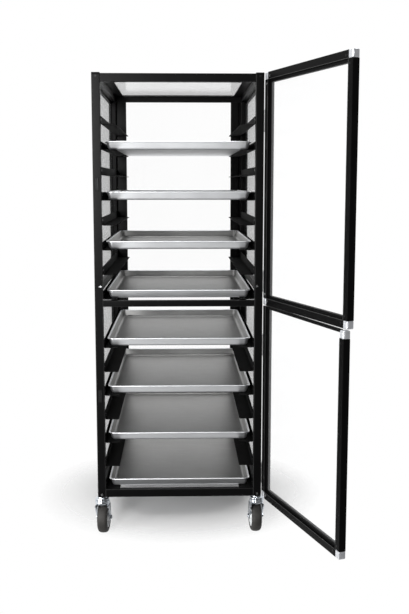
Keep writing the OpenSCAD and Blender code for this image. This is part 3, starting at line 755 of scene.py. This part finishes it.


# ---------------------------------------------------------------- Sheet pans
# Full-size sheet pans pressed from aluminium, with flared walls and a rim rolled over a wire.
# The metal is satin from rolling, with streaks, wiping hairlines and a blotchy bloom from the oven.
# Inside the rim it is darker, a painted shade and reflection of what stands over it.
def rolled_aluminium():
    metal = Shades(bpy.data.materials.new("rolled_pan_aluminium"))
    roll = metal.noise(420, 4, (1, 0.02, 1))
    wipe = metal.ramp(metal.noise(130, 5, (0.12, 1, 1), 0.6), (0.55, 0.0), (0.75, 1.0))
    bloom = metal.noise(11, 5, rough=0.6)
    # Upward faces inside the rim are darker: painted shade and reflection of what stands over them.
    baked = metal.node("Attribute", {"attribute_name": "baked"}, None, "Fac")
    cold = (0.985, 1, 1.02)
    open_tone = metal.mix(bloom, grey(0.77, cold), grey(0.91, cold))
    shaded_inner_tone = metal.mix(bloom, grey(0.28, (1.0, 0.99, 0.97)), grey(0.42, (1, 1, 0.99)))
    return metal.surface({
        "Base Color": metal.mix(wipe * 0.15, metal.mix(baked, open_tone, shaded_inner_tone), grey(0.90)),
        "Metallic": 1.0,
        "Roughness": 0.36 + bloom * 0.10 + roll * 0.08 + wipe * 0.05,
        "Normal": metal.bump(roll + wipe * 0.4, 0.02 * mm, 0.5)})


pan_metal = rolled_aluminium()
sheet_gauge = 1.1
foot_in = 12.6
foot_round = 9.0
rim_radius = 2.7
rim_turn = radians(325)
inside_rim = 2.3 * rim_radius * mm
corner_radius = 20 * mm


def pan_outline(height):
    """Inner face of a pan as (distance in from the rim, height) points, out to the rolled rim."""
    centre = Vector((rim_radius, height - rim_radius))
    lean = Vector((rim_radius * 2 - foot_in, height - rim_radius - sheet_gauge)).normalized()
    turn = pi / 2 - Vector((-1, 0)).angle(lean) / 2
    tangent = foot_round / (sin(turn) / cos(turn))
    start = Vector((foot_in + tangent, sheet_gauge))
    middle = start + Vector((0, foot_round))
    sweep = pi - 2 * turn
    points = [(corner_radius / mm, sheet_gauge)]
    for step in range(6):
        angle = -pi / 2 - sweep * step / 5
        points.append((middle.x + foot_round * cos(angle), middle.y + foot_round * sin(angle)))
    for step in range(13):
        angle = rim_turn * step / 12
        points.append((centre.x + rim_radius * cos(angle), centre.y + rim_radius * sin(angle)))
    return points


def pressed_pan(low, high):
    """Sweeps the outline of a pan round its four sides, closes the base and gives it a gauge."""
    bm = blank()
    half_x, half_y = (high.x - low.x) / 2, (high.y - low.y) / 2
    middle = (low + high) / 2
    outline = pan_outline((high.z - low.z) / mm)
    start_y = -(half_y - corner_radius)
    verts = [bm.verts.new((half_x - inward * mm, start_y, level * mm)) for inward, level in outline]
    edges = [bm.edges.new(pair) for pair in zip(verts, verts[1:])]
    ring = verts + edges
    ways = ((1, 1), (-1, 1), (-1, -1), (1, -1))
    straights = ((0, 1), (-1, 0), (0, -1), (1, 0))
    for (side, end), (across, along) in zip(ways, straights):
        length = 2 * (half_y - corner_radius) if along else 2 * (half_x - corner_radius)
        edges = [e for e in ring if isinstance(e, bmesh.types.BMEdge)]
        ring = bmesh.ops.extrude_edge_only(bm, edges=edges)["geom"]
        far = [v for v in ring if isinstance(v, bmesh.types.BMVert)]
        bmesh.ops.translate(bm, verts=far, vec=(across * length, along * length, 0))
        centre = (side * (half_x - corner_radius), end * (half_y - corner_radius), 0)
        ends = [g for g in ring if not isinstance(g, bmesh.types.BMFace)]
        ring = bmesh.ops.spin(bm, geom=ends, cent=centre, axis=(0, 0, 1), angle=pi / 2,
                              steps=10)["geom_last"]
    bmesh.ops.remove_doubles(bm, verts=bm.verts, dist=0.01 * mm)
    floor_top = 1.5 * sheet_gauge * mm
    open_edges = [e for e in bm.edges
                  if e.is_boundary and max(v.co.z for v in e.verts) < floor_top]
    base = bmesh.ops.contextual_create(bm, geom=open_edges)["faces"][0]
    bmesh.ops.recalc_face_normals(bm, faces=bm.faces)
    if base.normal.z < 0:
        bmesh.ops.reverse_faces(bm, faces=bm.faces)
    bmesh.ops.solidify(bm, geom=bm.faces[:], thickness=sheet_gauge * mm)
    bm.normal_update()
    # Marks the upward faces inside the rim, which take the painted shade.
    baked = bm.faces.layers.float.new("baked")
    for face in bm.faces:
        place = face.calc_center_median()
        inside = abs(place.x) < half_x - inside_rim and abs(place.y) < half_y - inside_rim
        if inside and face.normal.z > 0.05:
            face[baked] = 1.0
    bmesh.ops.translate(bm, verts=bm.verts, vec=(middle.x, middle.y, low.z))
    return bm


for number in range(1, 9):
    node = f"pan_{number}"
    pressed = pressed_pan(*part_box(node))
    part(node + "_pressed", pressed, "sheet_" + node, "pan_aluminium", pan_metal, node)


# ---------------------------------------------------------------- Caster heads
# The fixed half of each caster: a pressed upper race under the post, its ball race, and the
# kingpin with its nut below the fork. Blue-white zinc plate over steel.
def zinc_plate():
    zinc = Shades(bpy.data.materials.new("blue_zinc_plate"))
    flow = zinc.noise(45, 5, rough=0.6)
    grain = zinc.noise(1500, 3)
    dark, light = grey(0.52, (0.92, 0.98, 1.06)), grey(0.84, (0.94, 0.99, 1.04))
    return zinc.surface({
        "Base Color": zinc.mix(flow, dark, light),
        "Metallic": 1.0,
        "Roughness": 0.10 + flow * 0.10 + grain * 0.05,
        "Normal": zinc.bump(grain, 0.02 * mm, 0.5)})


zinc = zinc_plate()
race_low, race_high = 119.4, 126.4
crown_low, crown_high = 104.0, 119.0
frame_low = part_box("post_front_left")[0].z / mm
pin_points = {}
for corner in CORNERS:
    low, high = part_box("post_" + corner)
    pin_points[corner] = Vector(((low.x + high.x) / 2, (low.y + high.y) / 2, 0))
stems = blank()
pin_radius = 6.0
stem_radius = 10.8
stem_top = frame_low + 30
upper_race = [
    (pin_radius, race_low), (20.6, race_low), (21.7, race_low + 0.8), (22, race_low + 2),
    (22, race_low + 4.2), (21, race_low + 5.8), (18.6, race_high - 0.4), (16.6, race_high),
    (16, race_high + 0.8), (16, frame_low - 0.5), (15.5, frame_low), (stem_radius, frame_low),
    (stem_radius, stem_top), (0, stem_top)]
kingpin = [
    (0, crown_low - 7.4), (3.4, crown_low - 7.4), (5.2, crown_low - 6.8),
    (pin_radius, crown_low - 6), (pin_radius, race_high)]
nut_radius = 9.4
pin_nut = [
    (pin_radius, crown_low - 5.4), (nut_radius, crown_low - 5.4),
    (nut_radius, crown_low - 0.9), (pin_radius, crown_low - 0.9)]
nut_round = 0.5 * mm
for corner in CORNERS:
    place = Matrix.Translation(pin_points[corner])
    turned(stems, upper_race, place, 48)
    turned(stems, kingpin, place, 24)
    nut = turned(stems, pin_nut, place, 6, closed=True)
    soften(stems, nut, nut_round)
part("caster_upper_races", stems, "cabinet", "zinc_plate", zinc, "caster_stems")


# ---------------------------------------------------------------- Caster forks
# Pressed zinc-plated forks: a round lower race, a yoke bent over the wheel, and two legs that
# run down and back to the axle bolt, each with a raised rib. Each stands a few degrees off
# straight, as its roll joint's axis says.
gap = 38.0
leg = 3.0
trail = 28.0
axle_high = 50.0
foot = 10.0
yoke_low = 100.0
yoke_front = -17.0
shoulder_round = 4 * mm
rib_border = 2.6 * mm
rib_slope = 1.2 * mm
rib_depth = 0.9 * mm


def yoke(bm, place):
    """The bent top of a fork, a channel with rounded shoulders along Y."""
    before = set(bm.verts)
    side = (gap + leg) / 2 * mm
    top = (crown_low + leg / 2) * mm
    points = ((-side, yoke_low * mm), (-side, top), (side, top), (side, yoke_low * mm))
    verts = [bm.verts.new((x, yoke_front * mm, z)) for x, z in points]
    edges = [bm.edges.new(pair) for pair in zip(verts, verts[1:])]
    grown = bmesh.ops.extrude_edge_only(bm, edges=edges)
    far = [v for v in grown["geom"] if isinstance(v, bmesh.types.BMVert)]
    bmesh.ops.translate(bm, verts=far, vec=(0, (trail - yoke_front) * mm, 0))
    shoulders = [e for v in verts[1:3] for e in v.link_edges if len(e.link_faces) == 2]
    bmesh.ops.bevel(bm, geom=shoulders, offset=shoulder_round, segments=5, profile=0.5,
                    affect="EDGES", material=-1)
    faces = faces_of(added(bm, before))
    bmesh.ops.recalc_face_normals(bm, faces=faces)
    bmesh.ops.solidify(bm, geom=faces, thickness=leg / 2 * mm)
    shell = added(bm, before)
    bmesh.ops.recalc_face_normals(bm, faces=faces_of(shell))
    bmesh.ops.transform(bm, matrix=place, verts=shell)


def fork_leg(bm, side, place):
    """A flat leg with a rounded foot about the axle and a raised rib on its outer face."""
    before = set(bm.verts)
    points = [(yoke_front, yoke_low), (trail, yoke_low), (trail + foot, axle_high + 4)]
    for angle in [radians(-18 * step) for step in range(12)]:
        points.append((trail + foot * cos(angle), axle_high + foot * sin(angle)))
    points.append((yoke_front + 1.5, yoke_low - 5))
    verts = [bm.verts.new((0, y * mm, z * mm)) for y, z in points]
    face = bm.faces.new(verts)
    grown = bmesh.ops.extrude_face_region(bm, geom=[face], use_keep_orig=True)
    far = [v for v in grown["geom"] if isinstance(v, bmesh.types.BMVert)]
    outer = next(f for f in grown["geom"] if isinstance(f, bmesh.types.BMFace))
    bmesh.ops.translate(bm, verts=far, vec=(side * leg * mm, 0, 0))
    bmesh.ops.translate(bm, verts=added(bm, before), vec=(side * gap / 2 * mm, 0, 0))
    faces = faces_of(added(bm, before))
    bmesh.ops.recalc_face_normals(bm, faces=faces)
    bmesh.ops.inset_region(bm, faces=[outer], thickness=rib_border, depth=0,
                           use_even_offset=True)
    bmesh.ops.inset_region(bm, faces=[outer], thickness=rib_slope, depth=-rib_depth,
                           use_even_offset=True)
    bmesh.ops.transform(bm, matrix=place, verts=added(bm, before))


race_bore = pin_radius + 0.1
lower_race = [
    (race_bore, crown_low + 2), (19, crown_low + 2), (21.6, crown_low + 3.4),
    (23, crown_low + 6), (23, crown_low + 8.4), (22.2, crown_low + 9.4),
    (22.2, crown_low + 10.4), (23, crown_low + 11.4), (23, crown_high - 1.2),
    (22, crown_high - 0.2), (20, crown_high), (race_bore, crown_high)]
reach = gap / 2 + leg
bolt_head = [(0, 3), (3.6, 3), (5.9, 2.5), (6.5, 1.9), (6.5, 0.6), (0, 0.6)]
nut_face = [(0, 0.6), (7.1, 0.6), (7.1, 3.4), (6.1, 4), (4.6, 4), (4, 4.9), (0, 5)]
washer = [(0, 0), (7.9, 0), (7.9, 0.4), (7.6, 0.7), (0, 0.7)]
turns = {}
for corner in CORNERS:
    fork = blank()
    roll = next(j for j in frame["joints"] if j["name"] == "roll_" + corner)
    turns[corner] = RIGHT.rotation_difference(Vector(roll["axis"])).to_matrix().to_4x4()
    place = Matrix.Translation(pin_points[corner]) @ turns[corner]
    turned(fork, lower_race, place, 48, closed=True)
    yoke(fork, place)
    for side in (-1, 1):
        fork_leg(fork, side, place)
    hub_line = place @ Matrix.Translation((0, trail * mm, axle_high * mm))
    left = hub_line @ Matrix.Translation((-reach * mm, 0, 0)) @ Matrix.Rotation(-pi / 2, 4, "Y")
    right = hub_line @ Matrix.Translation((reach * mm, 0, 0)) @ Matrix.Rotation(pi / 2, 4, "Y")
    turned(fork, bolt_head, left, 6)
    turned(fork, nut_face, right, 6)
    for end in (left, right):
        turned(fork, washer, end, 32)
    part("pressed_fork_" + corner, fork, "caster_" + corner, "zinc_plate", zinc, "fork_" + corner)


# ---------------------------------------------------------------- Wheels
# Grey moulded wheel centres with a sunk web and a boss round the axle, and dark grey-brown
# rubber tyres with a crowned tread and a fine mould line.
def hub_nylon():
    shell = Shades(bpy.data.materials.new("grey_wheel_centre"))
    mottle = shell.noise(60, 4)
    grain = shell.noise(1800, 3)
    return shell.surface({
        "Base Color": shell.mix(mottle, grey(0.58, (0.98, 1, 1.01)), grey(0.70, (0.98, 1, 1.01))),
        "Roughness": 0.38 + grain * 0.12,
        "Normal": shell.bump(grain, 0.03 * mm, 0.5)})


def tyre_rubber():
    rubber = Shades(bpy.data.materials.new("dark_wheel_rubber"))
    grain = rubber.noise(1400, 4, rough=0.65)
    dust = rubber.ramp(rubber.noise(45, 5, rough=0.65), (0.45, 0.0), (0.72, 1.0))
    dark, dusty = grey(0.016, (1.08, 1, 0.90)), grey(0.040, (1.07, 1, 0.92))
    return rubber.surface({
        "Base Color": rubber.mix(dust * 0.6, dark, dusty),
        "Roughness": 0.62 + grain * 0.16,
        "Normal": rubber.bump(grain, 0.08 * mm, 0.6)})


hub_finish = hub_nylon()
rubber = tyre_rubber()
rim = 33.0
half_tread = 16.0
boss_half = gap / 2 - 0.4
axle_bore = 4.1
hub_outline = [
    (axle_bore, -boss_half), (10, -boss_half), (12, -boss_half + 1.5), (13.5, -9), (15.5, -7.4),
    (23.5, -7.4), (27, -9), (28.5, -half_tread + 2), (29.5, -half_tread + 1),
    (rim, -half_tread + 1)]
hub_outline += [(radius, -height) for radius, height in reversed(hub_outline)]
shoulder = 9.5
shoulder_run = 10.5
tyre_outline = [(rim, -half_tread + 1.2), (rim + 1.2, -half_tread)]
for step in range(7):
    angle = radians(-90 + 80 * step / 6)
    tyre_outline.append((axle_high - 0.5 - shoulder + shoulder * cos(angle),
                         -half_tread + shoulder_run + shoulder_run * sin(angle)))
tyre_outline += [(axle_high - 0.2, -4), (axle_high - 0.1, -0.5), (axle_high, -0.3)]
tyre_outline += [(radius, -height) for radius, height in reversed(tyre_outline)]
for corner in CORNERS:
    low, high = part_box("tyre_" + corner)
    wheel = Matrix.Translation((low + high) / 2) @ turns[corner] @ Matrix.Rotation(pi / 2, 4, "Y")
    centre = blank()
    turned(centre, hub_outline, wheel, 48, closed=True)
    part("wheel_centre_" + corner, centre, "wheel_" + corner, "hub_plastic", hub_finish,
         "hub_" + corner)
    tread = blank()
    turned(tread, tyre_outline, wheel, 64, closed=True)
    part("rubber_tyre_" + corner, tread, "wheel_" + corner, "wheel_rubber", rubber,
         "tyre_" + corner)

visual_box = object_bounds()
boxes = {"cad": cad_box, "visual": visual_box}
